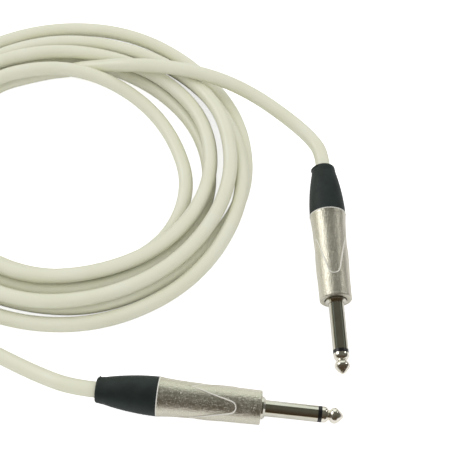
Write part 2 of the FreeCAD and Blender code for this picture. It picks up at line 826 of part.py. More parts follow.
def least_gap(edges):
    """The least distance between strands, measured on points, less the cable's diameter."""
    marks = []
    travelled = 0.0
    for edge in edges:
        count = max(1, int(math.ceil(edge.Length / GAP_STEP)))
        for step in range(count):
            share = step / count
            spot = edge.FirstParameter + share * (edge.LastParameter - edge.FirstParameter)
            where = edge.valueAt(spot)
            marks.append((travelled + share * edge.Length, (where.x, where.y, where.z)))
        travelled += edge.Length
    least = (1e9, 0.0, 0.0)
    ahead = int(STRAND_DISTANCE / GAP_STEP)
    for index, (along, place) in enumerate(marks):
        for other_along, other in marks[index + ahead:]:
            if abs(place[2] - other[2]) > 8.0 or abs(place[0] - other[0]) > 8.0:
                continue
            apart = math.dist(place, other)
            if apart < least[0] and other_along - along > STRAND_DISTANCE:
                least = (apart, along, other_along)
    return least[0] - SIZES["cable_diameter"], least[1], least[2]


def make_plug(name, plug):
    """All nineteen pieces of one plug, from the boot to the tip."""
    straight = plug_placement(plug, 0.0)
    make_boot(name + "_boot", plug_placement(plug, plug["lip_roll"]))
    make_shell(name + "_shell", plug_placement(plug, plug["shell_roll"]))
    make_bush(name + "_bush", straight)
    make_chuck(name + "_chuck", straight)
    make_liner(name + "_liner", straight)
    make_pin_sleeve(name + "_pin_sleeve", straight)
    cover = size("rod_cover_radius")
    make_plain_ring(name + "_rod_insulator", straight, hub_rear, sleeve_front, rod_bore, cover)
    ring = size("ring_radius")
    make_plain_ring(name + "_ring_insulator", straight, sleeve_front, ring_front, rod_bore, ring)
    make_tip(name + "_tip", straight)
    make_tip_rod(name + "_tip_rod", straight)
    make_rear_insulator(name + "_rear_insulator", straight)
    tip_lug = make_tip_lug(name + "_tip_lug", straight)
    ground_lug = make_ground_lug(name + "_ground_lug", straight)
    jacket = new_body(name + "_jacket_end")
    turned(jacket, "jacket", disc(ON_AXIS, jacket_front, cable_radius))
    finish(jacket, name + "_jacket_end", straight)
    shield = make_shield(name + "_shield", straight)
    core = new_body(name + "_core_insulation")
    turned(core, "core", disc(jacket_front, core_front, size("core_radius")))
    finish(core, name + "_core_insulation", straight)
    conductor = make_conductor(name + "_conductor", straight)
    make_solder(name + "_tip_solder", straight, tip_solder_middle, SIZES["tab_low"],
                "tip_solder_height", [tip_lug, conductor])
    make_solder(name + "_ground_solder", straight, ground_solder_middle, -SIZES["strip_near"],
                "ground_solder_height", [ground_lug, shield])
    return straight


first_plug = make_plug("plug_1", PLUGS["plug_1"])
second_plug = make_plug("plug_2", PLUGS["plug_2"])

# The cable: from the first boot, round the coil, to the second boot
forward = FreeCAD.Vector(1, 0, 0)
first_boot = first_plug.Base
first_way = first_plug.Rotation.multVec(forward)
second_boot = second_plug.Base
second_way = second_plug.Rotation.multVec(forward)
lead_1 = [first_boot, first_boot - first_way * LEAD_1_FIRST_RUN]
lead_1 += [FreeCAD.Vector(*point) for point in LEAD_1_ROUTE]
lead_2 = [FreeCAD.Vector(*point) for point in LEAD_2_ROUTE]
lead_2 += [second_boot - second_way * LEAD_2_LAST_RUN, second_boot]
coil = coil_points()
coil_path, coil_start, coil_end = coil_edges(lead_1[-1], coil, lead_2[0])
lead_1_path, lead_1_radii = rounded_route(lead_1 + [coil_start])
lead_2_path, lead_2_radii = rounded_route([coil_end] + lead_2)
print("lead_1 radii:", " ".join("%.0f" % radius for radius in lead_1_radii))
print("lead_2 radii:", " ".join("%.0f" % radius for radius in lead_2_radii))
coil_radii = [edge.Curve.Radius for edge in coil_path if hasattr(edge.Curve, "Radius")]
print("coil radii: least %.0f, largest %.0f" % (min(coil_radii), max(coil_radii)))
gap, here, there = least_gap(lead_1_path + coil_path + lead_2_path)
print("least gap between strands %.2f mm, at %.0f and %.0f mm along the cable" % (gap, here, there))
if gap < LEAST_GAP:
    print("the gap is under %.1f mm" % LEAST_GAP)
total = cable_piece("lead_1", lead_1_path)
total += cable_piece("coil", coil_path)
total += cable_piece("lead_2", lead_2_path)
print("cable outside the plugs %.0f mm, with its ends in them %.0f mm"
      % (total, total + 2.0 * jacket_front.value))

document.recompute()
problems = []
for thing in document.Objects:
    if "Invalid" in thing.State or "Error" in thing.State:
        problems.append("%s %s" % (thing.Label, thing.State))
for thing in sub_parts:
    if thing.Shape.isNull() or not thing.Shape.isValid():
        problems.append("%s has no valid shape" % thing.Label)
    elif len(thing.Shape.Solids) != 1:
        problems.append("%s has %d solids" % (thing.Label, len(thing.Shape.Solids)))
if problems:
    raise SystemExit("\n".join(problems))

os.makedirs("parts", exist_ok=True)
for thing in sub_parts:
    thing.Shape.exportStep("parts/%s.step" % thing.Label)
print("%d pieces written" % len(sub_parts))
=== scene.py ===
import math
import bpy
import mathutils
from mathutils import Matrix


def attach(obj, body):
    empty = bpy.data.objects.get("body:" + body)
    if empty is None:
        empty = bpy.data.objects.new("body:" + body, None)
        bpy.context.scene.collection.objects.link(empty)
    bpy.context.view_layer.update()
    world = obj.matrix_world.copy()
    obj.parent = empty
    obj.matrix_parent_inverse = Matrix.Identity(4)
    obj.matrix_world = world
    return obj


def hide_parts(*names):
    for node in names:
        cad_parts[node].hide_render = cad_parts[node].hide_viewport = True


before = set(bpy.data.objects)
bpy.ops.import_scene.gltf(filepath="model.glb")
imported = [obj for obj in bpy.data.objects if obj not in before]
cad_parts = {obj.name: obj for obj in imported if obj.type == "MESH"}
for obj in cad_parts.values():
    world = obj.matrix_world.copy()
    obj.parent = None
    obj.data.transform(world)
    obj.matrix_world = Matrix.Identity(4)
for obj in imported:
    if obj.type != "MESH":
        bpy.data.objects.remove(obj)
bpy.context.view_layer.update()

# Cable: six loose turns of a flexible shielded instrument lead with an ivory vinyl jacket, lying
# on the table. It leaves the first boot, runs round the coil from the outside in, passes over its
# own turns at the far side and goes back into the second boot.
MM = 0.001
CABLE_DIAMETER = 6.3
LOW = CABLE_DIAMETER / 2.0
COIL_X = -70.0
COIL_Y = 65.0
FIRST_ANGLE = 165.0
STATIONS = 12
COIL_TURNS = [
    [(88.0, LOW), (82.5, LOW), (80.2, LOW), (78.3, LOW), (76.0, LOW), (78.0, LOW),
     (78.8, LOW), (73.2, LOW), (73.2, LOW), (71.1, LOW), (73.0, LOW), (76.5, LOW)],
    [(78.0, LOW), (74.5, LOW), (72.4, LOW), (69.3, LOW), (69.2, LOW), (72.2, 8.2),
     (79.3, 11.0), (81.4, 6.0), (80.4, LOW), (79.5, LOW), (80.5, 4.5), (80.0, 9.9)],
    [(75.0, 9.9), (70.3, 8.6), (67.9, 8.25), (65.0, 8.45), (66.0, 9.2), (69.5, 15.2),
     (73.0, 14.3), (72.45, 9.9), (72.2, 9.95), (73.2, 10.0), (70.0, 9.8), (70.5, 7.0)],
    [(70.0, 3.9), (65.8, LOW), (63.0, LOW), (55.7, LOW), (54.95, LOW), (59.0, LOW),
     (64.0, LOW), (66.0, LOW), (64.2, LOW), (64.3, LOW), (65.2, LOW), (63.0, LOW)],
    [(63.6, 9.2), (64.8, 12.5), (60.8, 9.95), (56.9, 9.9), (58.1, 9.7), (61.6, 9.8),
     (63.5, 10.0), (62.8, 10.0), (60.4, 9.9), (61.6, 9.9), (60.5, 9.7), (58.0, 9.8)],
    [(55.8, 10.0), (58.0, 10.2), (48.0, 13.4), (42.9, 12.2), (44.2, 5.0), (46.5, LOW),
     (53.9, LOW), (58.9, LOW), (57.4, LOW), (57.5, LOW), (57.9, LOW), (55.3, LOW)],
]
FIRST_LEAD = [
    (-50.78, -45.2, 8.42), (-60.72, -44.16, 8.7), (-73.5, -38.2, 5.4), (-89.0, -30.0, LOW),
    (-107.0, -20.5, LOW), (-130.0, -3.0, LOW), (-151.0, 22.0, LOW), (-160.0, 52.0, LOW),
]
SECOND_LEAD = [
    (-127.5, 80.4, LOW), (-113.2, 108.2, LOW), (-86.0, 117.0, 3.3), (-75.5, 117.2, 4.6),
    (-68.0, 116.5, 7.6), (-60.5, 114.8, 10.3), (-52.4, 112.1, 14.6), (-42.8, 109.9, 17.4),
    (-29.9, 108.9, 17.8), (-16.0, 105.5, 18.4), (-0.9, 102.7, 15.0), (14.2, 97.1, 10.0),
    (30.0, 84.6, 7.6), (39.3, 73.4, 7.9), (42.16, 65.51, 8.62), (42.4, 58.42, 8.42),
]
ROUTE_ORDER = 3
STEPS_ALONG = 14
STEPS_ROUND = 7

cable_route = list(FIRST_LEAD)
turn_step = 2.0 * math.pi / STATIONS
outside = 1.0 / math.cos(turn_step / 2.0)
for coil_turn in COIL_TURNS:
    for station, (distance, height) in enumerate(coil_turn):
        angle = math.radians(FIRST_ANGLE) - station * turn_step
        cable_route.append((
            COIL_X + distance * outside * math.cos(angle),
            COIL_Y + distance * outside * math.sin(angle),
            height,
        ))
cable_route += SECOND_LEAD

cable_curve = bpy.data.curves.new("cable", "CURVE")
cable_curve.dimensions = "3D"
cable_curve.resolution_u = STEPS_ALONG
cable_curve.bevel_depth = LOW * MM
cable_curve.bevel_resolution = STEPS_ROUND
cable_curve.use_fill_caps = True
cable_line = cable_curve.splines.new("NURBS")
cable_line.points.add(len(cable_route) - 1)
for point, (x, y, z) in zip(cable_line.points, cable_route):
    point.co = (x * MM, y * MM, z * MM, 1.0)
cable_line.order_u = ROUTE_ORDER
cable_line.use_endpoint_u = True
cable = bpy.data.objects.new("cable", cable_curve)
bpy.context.scene.collection.objects.link(cable)


def new_material(name):
    """A new material with its surface shader; gives its nodes and links too."""
    material = bpy.data.materials.new(name)
    material.use_nodes = True
    return material, material.node_tree.nodes, material.node_tree.links


def make_grain_group():
    """Grain over a surface: a fine height for bumps and a broader mask for changes of colour."""
    group = bpy.data.node_groups.new("surface_grain", "ShaderNodeTree")
    group.interface.new_socket("Fine Scale", in_out="INPUT", socket_type="NodeSocketFloat")
    group.interface.new_socket("Broad Scale", in_out="INPUT", socket_type="NodeSocketFloat")
    group.interface.new_socket("Height", in_out="OUTPUT", socket_type="NodeSocketFloat")
    group.interface.new_socket("Mask", in_out="OUTPUT", socket_type="NodeSocketFloat")
    nodes = group.nodes
    links = group.links
    entry = nodes.new("NodeGroupInput")
    leave = nodes.new("NodeGroupOutput")
    place = nodes.new("ShaderNodeTexCoord")
    fine = nodes.new("ShaderNodeTexNoise")
    fine.inputs["Detail"].default_value = 3.0
    fine.inputs["Roughness"].default_value = 0.6
    broad = nodes.new("ShaderNodeTexNoise")
    broad.inputs["Detail"].default_value = 2.0
    links.new(place.outputs["Object"], fine.inputs["Vector"])
    links.new(place.outputs["Object"], broad.inputs["Vector"])
    links.new(entry.outputs["Fine Scale"], fine.inputs["Scale"])
    links.new(entry.outputs["Broad Scale"], broad.inputs["Scale"])
    links.new(fine.outputs["Fac"], leave.inputs["Height"])
    links.new(broad.outputs["Fac"], leave.inputs["Mask"])
    return group


surface_grain = make_grain_group()


def add_grain(nodes, fine_scale, broad_scale):
    """Puts the grain in a material; gives its height and its mask."""
    grain = nodes.new("ShaderNodeGroup")
    grain.node_tree = surface_grain
    grain.inputs["Fine Scale"].default_value = fine_scale
    grain.inputs["Broad Scale"].default_value = broad_scale
    return grain.outputs["Height"], grain.outputs["Mask"]


def add_bump(nodes, links, height, strength, distance):
    """Bumps a material's surface with a height, on top of any bump that it has."""
    normal = nodes["Principled BSDF"].inputs["Normal"]
    bump = nodes.new("ShaderNodeBump")
    bump.inputs["Strength"].default_value = strength
    bump.inputs["Distance"].default_value = distance
    links.new(height, bump.inputs["Height"])
    if normal.is_linked:
        links.new(normal.links[0].from_socket, bump.inputs["Normal"])
    links.new(bump.outputs["Normal"], normal)


def vary(nodes, links, mask, stops, socket):
    """Runs a mask through a colour ramp of two (position, colour) stops into a socket."""
    ramp = nodes.new("ShaderNodeValToRGB")
    for element, (position, colour) in zip(ramp.color_ramp.elements, stops):
        element.position = position
        element.color = colour
    links.new(mask, ramp.inputs["Fac"])
    links.new(ramp.outputs["Color"], socket)


def grey(level):
    """A neutral colour of one level."""
    return (level, level, level, 1.0)


GRAIN_LOW = 0.3
GRAIN_HIGH = 0.7


def grained_finish(name, dark, light, roughness, scales, bump, metallic=0.0, specular=0.5):
    """A finish whose colour changes with the broad grain, and its gloss with the fine grain.

    Roughness is a pair for the lows and the highs of the grain, scales are the grain's fine and
    broad scale, and bump is the fine grain's strength and its height in metres.
    """
    material, nodes, links = new_material(name)
    surface = nodes["Principled BSDF"]
    surface.inputs["Metallic"].default_value = metallic
    surface.inputs["Specular IOR Level"].default_value = specular
    height, mask = add_grain(nodes, *scales)
    add_bump(nodes, links, height, *bump)
    vary(nodes, links, mask, [(GRAIN_LOW, dark + (1.0,)), (GRAIN_HIGH, light + (1.0,))],
         surface.inputs["Base Color"])
    vary(nodes, links, height, [(GRAIN_LOW, grey(roughness[0])), (GRAIN_HIGH, grey(roughness[1]))],
         surface.inputs["Roughness"])
    return material


ivory_vinyl = grained_finish(
    "ivory_vinyl",
    dark=(0.785, 0.785, 0.610),
    light=(0.815, 0.812, 0.665),
    roughness=(0.32, 0.44),
    scales=(1400.0, 60.0),
    bump=(0.4, 0.0001),
    specular=0.55,
)
cable_curve.materials.append(ivory_vinyl)
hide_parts("lead_1", "coil", "lead_2")
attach(cable, "root")

# Plugs: two straight mono phone plugs, built alike, each lying on its shell. Every piece below
# comes from the frame, one of each kind on each plug, and its material goes on both.
PLUG_PLACES = {
    "plug_1": {"x": -50.78, "y": -45.2, "heading": -5.97, "shell_roll": 31.0},
    "plug_2": {"x": 42.4, "y": 58.42, "heading": -88.03, "shell_roll": 2.6},
}


def dress(piece, material):
    """Gives a piece of both plugs its material."""
    for plug in PLUG_PLACES:
        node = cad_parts[plug + "_" + piece]
        node.data.materials.clear()
        node.data.materials.append(material)


# Boots: black moulded rubber sleeves, tapered, with a dull skin. Each one screws on the shell's
# bush and grips the cable where it goes in.
black_rubber = grained_finish(
    "black_rubber",
    dark=(0.008, 0.017, 0.014),
    light=(0.0151, 0.0268, 0.0229),
    roughness=(0.50, 0.66),
    scales=(2200.0, 160.0),
    bump=(0.35, 0.0001),
    specular=0.4,
)
dress("boot", black_rubber)

# Shells: die-cast metal with three finger recesses and a satin nickel plate, a little warm in
# colour. Fine grain and broader dimples cover it, and the grain's peaks are rough flecks whose pale
# colour is a painted glint.
SHELL_GRAIN_SCALE = 2850.0
SHELL_DIMPLE_SCALE = 1600.0
SHELL_GRAIN_HEIGHT = 0.00009
SHELL_DIMPLE_HEIGHT = 0.00016
PLATE_COLOUR = (0.665, 0.635, 0.525, 1.0)
PALE_PLATE_COLOUR = (0.725, 0.695, 0.585, 1.0)
FLECK_COLOUR = (0.92, 0.90, 0.78, 1.0)
FLECK_FROM = 0.572
FLECK_FULL = 0.605
PLATE_ROUGHNESS = 0.28
FLECK_ROUGHNESS = 0.68
PLATE_METAL = 1.0
FLECK_METAL = 0.66


def rescale(nodes, links, value, low, high):
    """A mask that grows from 0 to 1 as a value goes from low to high."""
    scale = nodes.new("ShaderNodeMapRange")
    scale.inputs["From Min"].default_value = low
    scale.inputs["From Max"].default_value = high
    links.new(value, scale.inputs["Value"])
    return scale.outputs["Result"]


def blend(nodes, links, below, above, mask):
    """Lays a colour over another colour by a mask; the one below may be a socket."""
    mix = nodes.new("ShaderNodeMix")
    mix.data_type = "RGBA"
    if isinstance(below, tuple):
        mix.inputs["A"].default_value = below
    else:
        links.new(below, mix.inputs["A"])
    mix.inputs["B"].default_value = above
    links.new(mask, mix.inputs["Factor"])
    return mix.outputs["Result"]


satin_nickel, nodes, links = new_material("satin_nickel")
surface = nodes["Principled BSDF"]
grain_height, dimple_height = add_grain(nodes, SHELL_GRAIN_SCALE, SHELL_DIMPLE_SCALE)
add_bump(nodes, links, grain_height, 1.0, SHELL_GRAIN_HEIGHT)
add_bump(nodes, links, dimple_height, 1.0, SHELL_DIMPLE_HEIGHT)
# Flecks on the grain's peaks: rough, and paler than the plate, as painted glints.
flecks = rescale(nodes, links, grain_height, FLECK_FROM, FLECK_FULL)
plate = blend(nodes, links, PLATE_COLOUR, PALE_PLATE_COLOUR, dimple_height)
flecked_plate = blend(nodes, links, plate, FLECK_COLOUR, flecks)
links.new(flecked_plate, surface.inputs["Base Color"])
vary(nodes, links, flecks, [(0.0, grey(PLATE_ROUGHNESS)), (1.0, grey(FLECK_ROUGHNESS))],
     surface.inputs["Roughness"])
vary(nodes, links, flecks, [(0.0, grey(PLATE_METAL)), (1.0, grey(FLECK_METAL))],
     surface.inputs["Metallic"])
dress("shell", satin_nickel)

# Rolled edges of the shells: a fine rolled edge runs round each of the three recesses, thin where two
# recesses meet and full round the front end, and one runs round the rear rim, against the boot. They
# carry a painted highlight: a pale, even colour for the light that these rounded edges catch.
BOOT_LENGTH = 24.0
SHELL_LENGTH = 40.3
SHELL_REAR_RADIUS = 7.75
SHELL_BODY_RADIUS = 7.1
SHELL_FRONT_RADIUS = 6.66
SHELL_EDGE = 0.4
SHELL_FLARE_LENGTH = 9.0
RECESS_END = 30.6
RECESS_END_RADIUS = 2.45
RECESS_SPREAD = math.radians(13.3)
RECESS_COUNT = 3
RIM_RADIUS = 0.26
RIM_THIN_SHARE = 0.5
RIM_THIN_LENGTH = 8.0
RIM_SUNK = 0.08
RIM_SIDES = 8
RIM_SIDE_STEPS = 16
RIM_END_STEPS = 14
MEETING_STEP = 0.1
REAR_RIM_RADIUS = 0.25
REAR_RIM_ALONG = 0.26
REAR_RIM_SUNK = 0.13
REAR_RIM_STEPS = 72


def shell_placement(place):
    """Where a shell lies: on its rear flare and its front edge, turned by its roll."""
    between = SHELL_LENGTH - 2.0 * SHELL_EDGE
    tilt = math.asin((SHELL_REAR_RADIUS - SHELL_FRONT_RADIUS) / between)
    flare = BOOT_LENGTH + SHELL_EDGE
    height = SHELL_REAR_RADIUS * math.cos(tilt) + flare * math.sin(tilt)
    heading = mathutils.Matrix.Rotation(math.radians(place["heading"]), 4, "Z")
    roll = mathutils.Matrix.Rotation(math.radians(place["shell_roll"]), 4, "X")
    spot = mathutils.Matrix.Translation((place["x"], place["y"], height))
    return spot @ heading @ mathutils.Matrix.Rotation(tilt, 4, "Y") @ roll


def shell_radius(along):
    """The shell's outer radius at a distance from its rear edge, in front of its flare."""
    body_length = SHELL_LENGTH - SHELL_EDGE - SHELL_FLARE_LENGTH
    taper = (SHELL_BODY_RADIUS - SHELL_FRONT_RADIUS) / body_length
    return SHELL_BODY_RADIUS - taper * (along - SHELL_FLARE_LENGTH)


def recess_edge():
    """A recess's edge on the shell's skin: forward along one side, round the end and back."""
    centre = RECESS_END - RECESS_END_RADIUS
    touch_along = centre + RECESS_END_RADIUS * math.sin(RECESS_SPREAD)
    touch_side = RECESS_END_RADIUS * math.cos(RECESS_SPREAD)
    spread = math.tan(RECESS_SPREAD)
    meet_along = touch_along
    half_share = math.sin(math.pi / RECESS_COUNT)
    while touch_side + (touch_along - meet_along) * spread < shell_radius(meet_along) * half_share:
        meet_along -= MEETING_STEP
    flat = []
    for step in range(RIM_SIDE_STEPS):
        along = meet_along + (touch_along - meet_along) * step / RIM_SIDE_STEPS
        flat.append((along, touch_side + (touch_along - along) * spread))
    for step in range(RIM_END_STEPS + 1):
        turn = (math.pi - 2.0 * RECESS_SPREAD) * step / RIM_END_STEPS + RECESS_SPREAD
        flat.append((centre + RECESS_END_RADIUS * math.sin(turn), RECESS_END_RADIUS * math.cos(turn)))
    for along, side in reversed(flat[:RIM_SIDE_STEPS]):
        flat.append((along, -side))
    edge = []
    for along, side in flat:
        radius = shell_radius(along)
        rise = math.sqrt(radius ** 2 - side ** 2)
        edge.append(mathutils.Vector((BOOT_LENGTH + along, side, rise)))
    return edge


def rim_rings(edge):
    """Round sections along a recess's edge, each as a list of points."""
    rings = []
    for index, point in enumerate(edge):
        ahead = edge[min(index + 1, len(edge) - 1)]
        behind = edge[max(index - 1, 0)]
        way = (ahead - behind).normalized()
        outward = mathutils.Vector((0.0, point.y, point.z)).normalized()
        side = way.cross(outward).normalized()
        from_meeting = min(point.x - edge[0].x, RIM_THIN_LENGTH) / RIM_THIN_LENGTH
        radius = RIM_RADIUS * (RIM_THIN_SHARE + (1.0 - RIM_THIN_SHARE) * from_meeting)
        middle = point - outward * RIM_SUNK
        ring = []
        for corner in range(RIM_SIDES):
            angle = 2.0 * math.pi * corner / RIM_SIDES
            up = outward * (radius * math.cos(angle))
            ring.append(middle + up + side * (radius * math.sin(angle)))
        rings.append(ring)
    return rings


def rear_rings():
    """Round sections along the shell's rear rim, each as a list of points."""
    rings = []
    for step in range(REAR_RIM_STEPS):
        round_axis = 2.0 * math.pi * step / REAR_RIM_STEPS
        outward = mathutils.Vector((0.0, math.sin(round_axis), math.cos(round_axis)))
        middle = outward * (SHELL_REAR_RADIUS - REAR_RIM_SUNK)
        middle.x = BOOT_LENGTH + REAR_RIM_ALONG
        ring = []
        for corner in range(RIM_SIDES):
            angle = 2.0 * math.pi * corner / RIM_SIDES
            up = outward * (REAR_RIM_RADIUS * math.cos(angle))
            forward = mathutils.Vector((REAR_RIM_RADIUS * math.sin(angle), 0.0, 0.0))
            ring.append(middle + up - forward)
        rings.append(ring)
    return rings


def skin(points, faces, rings, placement, closed):
    """Adds a tube over the rings to a mesh, closed on itself or with a cap on each end."""
    first = len(points)
    for ring in rings:
        points += [(placement @ corner) * MM for corner in ring]
    spans = len(rings) if closed else len(rings) - 1
    for index in range(spans):
        here = first + index * RIM_SIDES
        there = first + (index + 1) % len(rings) * RIM_SIDES
        for corner in range(RIM_SIDES):
            following = (corner + 1) % RIM_SIDES
            faces.append((here + corner, here + following, there + following, there + corner))
    if not closed:
        faces.append([first + corner for corner in reversed(range(RIM_SIDES))])
        faces.append([len(points) - RIM_SIDES + corner for corner in range(RIM_SIDES)])


def make_rims(plug, place):
    """The rolled edges of one shell, as one mesh."""
    placement = shell_placement(place)
    points = []
    faces = []
    rings = rim_rings(recess_edge())
    for recess in range(RECESS_COUNT):
        turn = mathutils.Matrix.Rotation(2.0 * math.pi * recess / RECESS_COUNT, 4, "X")
        skin(points, faces, rings, placement @ turn, False)
    skin(points, faces, rear_rings(), placement, True)
    mesh = bpy.data.meshes.new(plug + "_recess_rims")
    mesh.from_pydata(points, [], faces)
    for face in mesh.polygons:
        face.use_smooth = True
    rims = bpy.data.objects.new(plug + "_recess_rims", mesh)
    bpy.context.scene.collection.objects.link(rims)
    mesh.materials.append(painted_highlight_nickel)
    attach(rims, "root")


# The rolled edges' pale plate: a painted highlight for the light that these edges catch.
painted_highlight_nickel = grained_finish(
    "painted_highlight_nickel",
    dark=(0.93, 0.91, 0.84),
    light=(0.97, 0.95, 0.89),
    roughness=(0.52, 0.64),
    scales=(1800.0, 300.0),
    bump=(0.1, 0.00005),
    metallic=0.4,
)
for plug, place in PLUG_PLACES.items():
    make_rims(plug, place)

# Pin sleeves: turned brass with a bright nickel plate, a little dulled by plugging in and out. The
# collar and the hub are one piece with the sleeve.
bright_nickel = grained_finish(
    "bright_nickel",
    dark=(0.65, 0.63, 0.54),
    light=(0.70, 0.68, 0.60),
    roughness=(0.09, 0.15),
    scales=(700.0, 300.0),
    bump=(0.05, 0.00005),
    metallic=1.0,
)
dress("pin_sleeve", bright_nickel)

# Tips: the same plate on turned brass, made paler than on the sleeves as a painted highlight, so that
# their curves throw back more light. Each tip is riveted on the rod that runs through its sleeve.
tip_nickel = grained_finish(
    "tip_nickel",
    dark=(0.86, 0.82, 0.72),
    light=(0.92, 0.88, 0.79),
    roughness=(0.16, 0.24),
    scales=(900.0, 500.0),
    bump=(0.08, 0.00005),
    metallic=1.0,
)
dress("tip", tip_nickel)

# Ring insulators: hard black moulded plastic, slightly glossy. Each ring keeps a sleeve and a tip
# apart, clamped between them.
black_ring = grained_finish(
    "black_ring",
    dark=(0.004, 0.004, 0.005),
    light=(0.010, 0.010, 0.011),
    roughness=(0.28, 0.36),
    scales=(1800.0, 400.0),
    bump=(0.08, 0.00005),
)
dress("ring_insulator", black_ring)


def inner_finish(name, dark, light, roughness, metallic=0.0):
    """A finish for pieces inside the shell, with a slight change of colour and gloss over it."""
    return grained_finish(name, dark, light, roughness, (1200.0, 350.0), (0.15, 0.0001), metallic)


# Strain relief inside the shell: a black nylon bush that the boot closes on, and the slotted
# chuck that it squeezes round the cable's jacket. The stepped rear insulator is of the same nylon.
black_nylon = inner_finish(
    "black_nylon",
    dark=(0.018, 0.018, 0.019),
    light=(0.030, 0.030, 0.031),
    roughness=(0.42, 0.55),
)
dress("bush", black_nylon)
dress("chuck", black_nylon)
dress("rear_insulator", black_nylon)

# Liner: a thin sleeve of milky film inside the shell, slid over the solder joints so that they
# can't touch the metal.
milky_film = inner_finish(
    "milky_film",
    dark=(0.66, 0.65, 0.60),
    light=(0.76, 0.75, 0.70),
    roughness=(0.30, 0.42),
)
dress("liner", milky_film)

# White insulation: a long nylon sleeve round the rod, and the one round the cable's inner wire,
# which is cut back to bare the wire's end.
white_nylon = inner_finish(
    "white_nylon",
    dark=(0.72, 0.71, 0.66),
    light=(0.80, 0.79, 0.75),
    roughness=(0.40, 0.52),
)
dress("rod_insulator", white_nylon)
dress("core_insulation", white_nylon)

# Rod: bare turned brass that carries the tip's contact to the rear. It is riveted over at its
# rear end, where it holds the tip lug.
bare_brass = inner_finish(
    "bare_brass",
    dark=(0.60, 0.45, 0.20),
    light=(0.70, 0.54, 0.27),
    roughness=(0.25, 0.38),
    metallic=1.0,
)
dress("tip_rod", bare_brass)

# Solder lugs: stamped brass with a tinned skin. The short one sits under the rod's rivet, and the
# long one wraps round the jacket at its rear.
tinned_brass = inner_finish(
    "tinned_brass",
    dark=(0.58, 0.57, 0.54),
    light=(0.66, 0.65, 0.62),
    roughness=(0.30, 0.44),
    metallic=1.0,
)
dress("tip_lug", tinned_brass)
dress("ground_lug", tinned_brass)

# Cable ends inside the plugs: the same jacket, then the braid and the inner wire of bare copper,
# each stripped a little further back than the next.
bare_copper = inner_finish(
    "bare_copper",
    dark=(0.62, 0.32, 0.19),
    light=(0.74, 0.42, 0.27),
    roughness=(0.30, 0.45),
    metallic=1.0,
)
dress("jacket_end", ivory_vinyl)
dress("shield", bare_copper)
dress("conductor", bare_copper)

# Solder joints on the two lugs of each plug: dull grey cones of solder round the wire and round
# the braid's tail.
dull_solder = inner_finish(
    "dull_solder",
    dark=(0.48, 0.48, 0.48),
    light=(0.58, 0.58, 0.57),
    roughness=(0.32, 0.50),
    metallic=1.0,
)
dress("tip_solder", dull_solder)
dress("ground_solder", dull_solder)

# Table: a broad sheet of white paper under the object. The camera sees it almost white, with the
# object's faint shadow on it. In metal it is dark past a line on the right of the object, so that
# a shell on that side gets a darker edge.
TABLE_SIZE = 6.0
TABLE_DROP = 0.0002
PAPER_DARK_FROM = 0.10
PAPER_DARK_PAST = 0.14
PAPER_LEVEL = 0.92
DARK_PAPER_LEVEL = 0.10
GLOW_TO_CAMERA = 0.70
GLOW_IN_METAL = 0.06


def calculate(nodes, links, operation, *values):
    """A math node on values that are sockets or numbers; gives its result."""
    step = nodes.new("ShaderNodeMath")
    step.operation = operation
    for entry, value in zip(step.inputs, values):
        if isinstance(value, float):
            entry.default_value = value
        else:
            links.new(value, entry)
    return step.outputs["Value"]


table_half = TABLE_SIZE / 2.0
table_mesh = bpy.data.meshes.new("table")
table_mesh.from_pydata(
    [(-table_half, -table_half, -TABLE_DROP), (table_half, -table_half, -TABLE_DROP),
     (table_half, table_half, -TABLE_DROP), (-table_half, table_half, -TABLE_DROP)],
    [], [(0, 1, 2, 3)])
table = bpy.data.objects.new("table", table_mesh)
bpy.context.scene.collection.objects.link(table)
white_paper, nodes, links = new_material("white_paper")
nodes.remove(nodes["Principled BSDF"])
paper = nodes.new("ShaderNodeBsdfDiffuse")
table_ray = nodes.new("ShaderNodeLightPath")
table_place = nodes.new("ShaderNodeTexCoord")
table_axes = nodes.new("ShaderNodeSeparateXYZ")
links.new(table_place.outputs["Object"], table_axes.inputs["Vector"])
past_line = rescale(nodes, links, table_axes.outputs["X"], PAPER_DARK_FROM, PAPER_DARK_PAST)
dark_in_metal = calculate(nodes, links, "MULTIPLY", past_line, table_ray.outputs["Is Glossy Ray"])
vary(nodes, links, dark_in_metal, [(0.0, grey(PAPER_LEVEL)), (1.0, grey(DARK_PAPER_LEVEL))],
     paper.inputs["Color"])
mirrored = calculate(nodes, links, "MAXIMUM",
                     table_ray.outputs["Is Glossy Ray"], table_ray.outputs["Is Transmission Ray"])
metal_glow = calculate(nodes, links, "MULTIPLY", mirrored, GLOW_IN_METAL)
table_glow = calculate(nodes, links, "MULTIPLY_ADD",
                       table_ray.outputs["Is Camera Ray"], GLOW_TO_CAMERA, metal_glow)
glow = nodes.new("ShaderNodeEmission")
links.new(table_glow, glow.inputs["Strength"])
paper_and_glow = nodes.new("ShaderNodeAddShader")
links.new(paper.outputs["BSDF"], paper_and_glow.inputs[0])
links.new(glow.outputs["Emission"], paper_and_glow.inputs[1])
links.new(paper_and_glow.outputs["Shader"], nodes["Material Output"].inputs["Surface"])
table_mesh.materials.append(white_paper)

# Studio: soft light from all round, brighter from above, before a white backdrop. Metal shows a
# dark room instead, browner in front, with a tall pale sweep behind the object, a low warm card
# in front of it and a dim card on each side.
LIGHT_FROM_SIDES = 0.38
LIGHT_FROM_ABOVE = 1.21
ROOM_IN_FRONT = (0.052, 0.030, 0.012, 1.0)
ROOM_BEHIND = (0.096, 0.094, 0.074, 1.0)
SIDE_CARD_COLOUR = (0.21, 0.24, 0.23, 1.0)
FRONT_CARD_COLOUR = (1.0, 0.95, 0.83, 1.0)
SWEEP_COLOUR = (0.98, 1.04, 0.98, 1.0)

studio = bpy.data.worlds.new("studio")
bpy.context.scene.world = studio
studio.use_nodes = True
nodes = studio.node_tree.nodes
links = studio.node_tree.links
direction = nodes.new("ShaderNodeTexCoord").outputs["Generated"]


